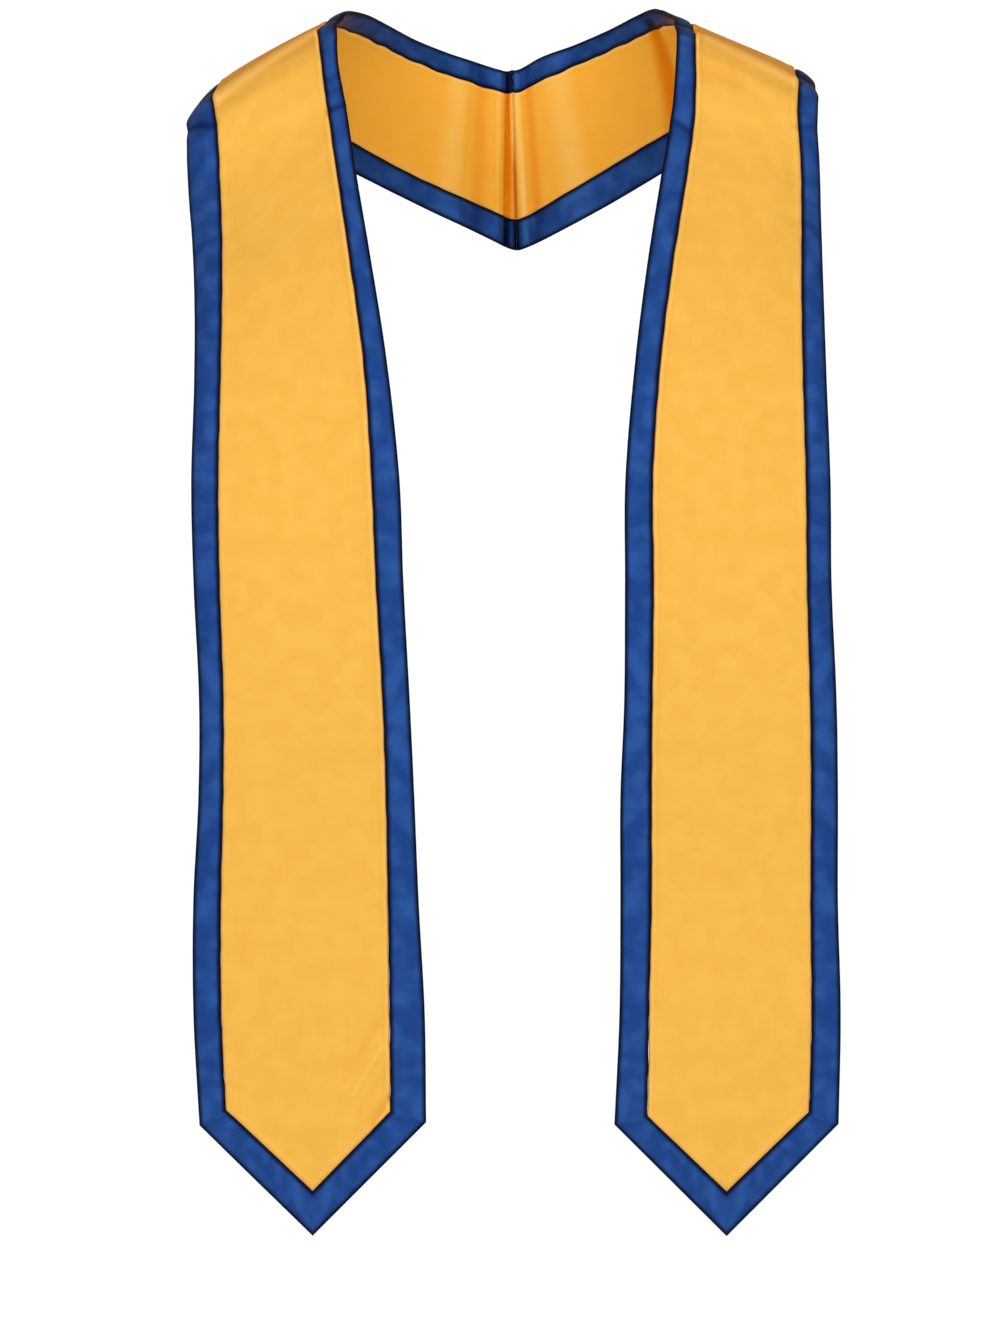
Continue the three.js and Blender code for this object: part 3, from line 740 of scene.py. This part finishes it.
def satin(name, full, shade_and_yarn, pale_and_highlight, fold, edge, pressed, shine_share, patchy, roughness, metallic):
    """Filament satin, woven with long floats that lie along the cloth. They reflect in the colour of the
    yarn, so the cloth shines where it faces the light and goes darker where it turns away. full is its
    colour and edge the tint of its gloss. Within a width of pressed of the stitches, and of a trim's folded
    edge, it takes the shade colour, a painted shade, and a little of it along the streaks of its yarns. It
    takes the fold colour, a painted shade, where it sinks into a pull or a crease, and the pale colour, a
    painted highlight, on their crests and, by the shine share, in a line just beside the stitches; by patchy
    it takes the pale colour in random patches."""
    material = bpy.data.materials.new(name)
    material.use_nodes = True
    tree = material.node_tree
    tree.nodes.clear()
    smooth = {"interpolation_type": "SMOOTHSTEP"}
    colours = {"data_type": "RGBA"}
    on_cloth = {"Vector": add_node(tree, "ShaderNodeUVMap", {"uv_map": LAID_FLAT}).outputs["UV"]}
    tangent = add_node(tree, "ShaderNodeTangent", {"direction_type": "UV_MAP", "uv_map": LAID_FLAT})
    beside = add_node(tree, "ShaderNodeAttribute", {"attribute_name": BESIDE_SEAM}).outputs["Fac"]
    in_fold = add_node(tree, "ShaderNodeAttribute", {"attribute_name": IN_FOLD}).outputs["Fac"]

    # Noises: the patches, the yarns and the soft dents
    patches = add_node(tree, "ShaderNodeTexNoise", {}, {"Scale": 1 / PATCH, "Detail": 1}, on_cloth)
    yarns = add_node(tree, "ShaderNodeMapping", {}, {"Scale": (1 / YARN, 1 / FLOAT_RUN, 1)}, on_cloth)
    streaks = add_node(tree, "ShaderNodeTexNoise", {}, {"Scale": 1, "Detail": 3},
                       {"Vector": yarns.outputs[0]})
    dents = add_node(tree, "ShaderNodeTexNoise", {}, {"Scale": 1 / HANDLING, "Detail": 2}, on_cloth)

    # Where each tone lies: painted shade, painted highlights and random paler patches
    # painted shade beside the stitches and beside a trim's folded edge
    stitches = add_node(tree, "ShaderNodeMapRange", smooth, from_to(STITCH_LINE, pressed, 1, 0),
                        {"Value": beside})
    # painted highlight in a line just beside the stitches
    shine_line = add_node(tree, "ShaderNodeMapRange", smooth, from_to(pressed + SHINE_LINE_WIDTH, pressed, 0, shine_share),
                   {"Value": beside})
    # painted highlight on the crests of pulls and creases
    crest = add_node(tree, "ShaderNodeMapRange", {}, from_to(*CREST_TONE, 0, 1), {"Value": in_fold})
    # painted shade in the hollows of pulls and creases
    hollow_shade = add_node(tree, "ShaderNodeMapRange", smooth, from_to(*FOLD_TONE, 0, 1), {"Value": in_fold})
    patch = add_node(tree, "ShaderNodeMapRange", {}, from_to(*PATCH_TONE, 0, patchy),
                     {"Value": patches.outputs["Fac"]})
    painted_highlights = add_node(tree, "ShaderNodeMath", {"operation": "ADD"}, {},
                      {0: shine_line.outputs[0], 1: crest.outputs[0]})
    pale = add_node(tree, "ShaderNodeMath", {"operation": "ADD", "use_clamp": True}, {},
                    {0: painted_highlights.outputs[0], 1: patch.outputs[0]})
    shade = add_node(tree, "ShaderNodeMath", {"operation": "MULTIPLY_ADD"}, {1: YARN_SHADE},
                     {0: streaks.outputs["Fac"], 2: stitches.outputs[0]})

    # The tones over one another
    lit = add_node(tree, "ShaderNodeMix", colours, {MIX_FIRST: linear(full), MIX_SECOND: linear(pale_and_highlight)},
                   {MIX_SHARE: pale.outputs[0]})
    sunk = add_node(tree, "ShaderNodeMix", colours, {MIX_SECOND: linear(fold)},
                    {MIX_SHARE: hollow_shade.outputs[0], MIX_FIRST: lit.outputs[MIX_RESULT]})
    tone = add_node(tree, "ShaderNodeMix", colours, {MIX_SECOND: linear(shade_and_yarn)},
                    {MIX_SHARE: shade.outputs[0], MIX_FIRST: sunk.outputs[MIX_RESULT]})

    # The dents, and the yarns over them
    soft = add_node(tree, "ShaderNodeBump", {}, {"Distance": DENT_DEPTH}, {"Height": dents.outputs["Fac"]})
    weave = add_node(tree, "ShaderNodeBump", {}, {"Distance": YARN_RELIEF},
                     {"Height": streaks.outputs["Fac"], "Normal": soft.outputs[0]})
    own = {"Roughness": roughness, "Metallic": metallic, "Specular Tint": linear(edge)}
    made = {"Base Color": tone.outputs[MIX_RESULT], "Normal": weave.outputs[0], "Tangent": tangent.outputs[0]}
    shader = add_node(tree, "ShaderNodeBsdfPrincipled", {}, {**GLOSS, **own}, made)
    add_node(tree, "ShaderNodeOutputMaterial", {}, {}, {"Surface": shader.outputs[0]})
    return material


def sew_half(side, gold, lining_gold_shaded, blue):
    """All pieces of one half, each made of the satin it is cut from."""
    half = Half(side)
    trims = [side_trim(half, edge, blue) for edge in (0, 1)]
    trims += [point_trim(half, edge, blue) for edge in (0, 1)]
    lining = gold_cloth(half, "lining", -1, lining_gold_shaded)
    face = gold_cloth(half, "face", 1, gold)
    s = np.linspace(0, half.length, CURVE_SAMPLES)
    between = float(np.mean(half.width(s) * (half.seam(s, 1) - half.seam(s, 0))))


def panel_light(name, place, target, size, watts, colour, work):
    """A soft panel. Its work is that it lights the stole, gleams in the satin, or both."""
    data = bpy.data.lights.new(name, "AREA")
    data.shape = "RECTANGLE"
    data.size, data.size_y = size
    data.energy = watts
    data.color = linear(colour)[:3]
    light = bpy.data.objects.new(name, data)
    light.location = place
    light.rotation_euler = (Vector(target) - Vector(place)).to_track_quat("-Z", "Y").to_euler()
    light.visible_diffuse = work != "gleams"
    light.visible_glossy = work != "lights"
    bpy.context.scene.collection.objects.link(light)


def white_room():
    """A pale floor far below, and a white surround that the camera sees but that adds no light."""
    bpy.ops.mesh.primitive_uv_sphere_add(segments=64, ring_count=32, radius=SURROUND, location=(0, 0, 0))
    surround = bpy.context.object
    surround.name = "surround"
    paper = bpy.data.materials.new("white_paper")
    paper.use_nodes = True
    paper.node_tree.nodes.clear()
    tree = paper.node_tree
    glow = add_node(tree, "ShaderNodeEmission", {}, {"Color": linear(WHITE), "Strength": SURROUND_GLOW})
    add_node(tree, "ShaderNodeOutputMaterial", {}, {}, {"Surface": glow.outputs[0]})
    surround.data.materials.append(paper)
    for ray in ("diffuse", "glossy", "transmission", "shadow"):
        setattr(surround, f"visible_{ray}", False)
    level = (0, 0, FLOOR_LEVEL)
    bpy.ops.mesh.primitive_circle_add(vertices=96, radius=FLOOR, fill_type="NGON", location=level)
    floor = bpy.context.object
    floor.name = "floor"
    chalk = bpy.data.materials.new("pale_floor")
    chalk.use_nodes = True
    shader = chalk.node_tree.nodes["Principled BSDF"]
    shader.inputs["Base Color"].default_value = linear(FLOOR_TINT)
    shader.inputs["Roughness"].default_value = FLOOR_ROUGHNESS
    floor.data.materials.append(chalk)
    world = bpy.data.worlds.new("dim_room")
    world.use_nodes = True
    air = world.node_tree.nodes["Background"]
    air.inputs["Color"].default_value = linear(ROOM_TINT)
    air.inputs["Strength"].default_value = ROOM_LIGHT
    bpy.context.scene.world = world
    bpy.context.scene.view_settings.view_transform = "Standard"


look_from_the_front()
gold = satin("gold_satin", GOLD, GOLD_SHADE_AND_YARN, GOLD_PALE_AND_HIGHLIGHT, GOLD_FOLD_SHADE, GOLD_EDGE,
             pressed=0.5 * MM, shine_share=0.7, patchy=0.15, roughness=0.5, metallic=0.4)
# the lining is the gold satin again, with less gloss and a colour that stands in for the shade inside the
# back: painted shade
lining_gold_shaded = satin("gold_satin_lining_shaded", LINING_SHADED, GOLD_SHADE_AND_YARN, GOLD_PALE_AND_HIGHLIGHT, GOLD_FOLD_SHADE, GOLD_EDGE,
                  pressed=0.5 * MM, shine_share=0.7, patchy=0.1, roughness=0.55, metallic=0.1)
blue = satin("blue_satin", BLUE, BLUE_SHADE_AND_YARN, BLUE_PALE_AND_HIGHLIGHT, BLUE_FOLD_SHADE, BLUE_EDGE,
             pressed=3.6 * MM, shine_share=0, patchy=0.7, roughness=0.42, metallic=0.35)
for side in ("left", "right"):
    sew_half(side, gold, lining_gold_shaded, blue)
white_room()
for name, row in PANELS.items():
    panel_light(name, *row)
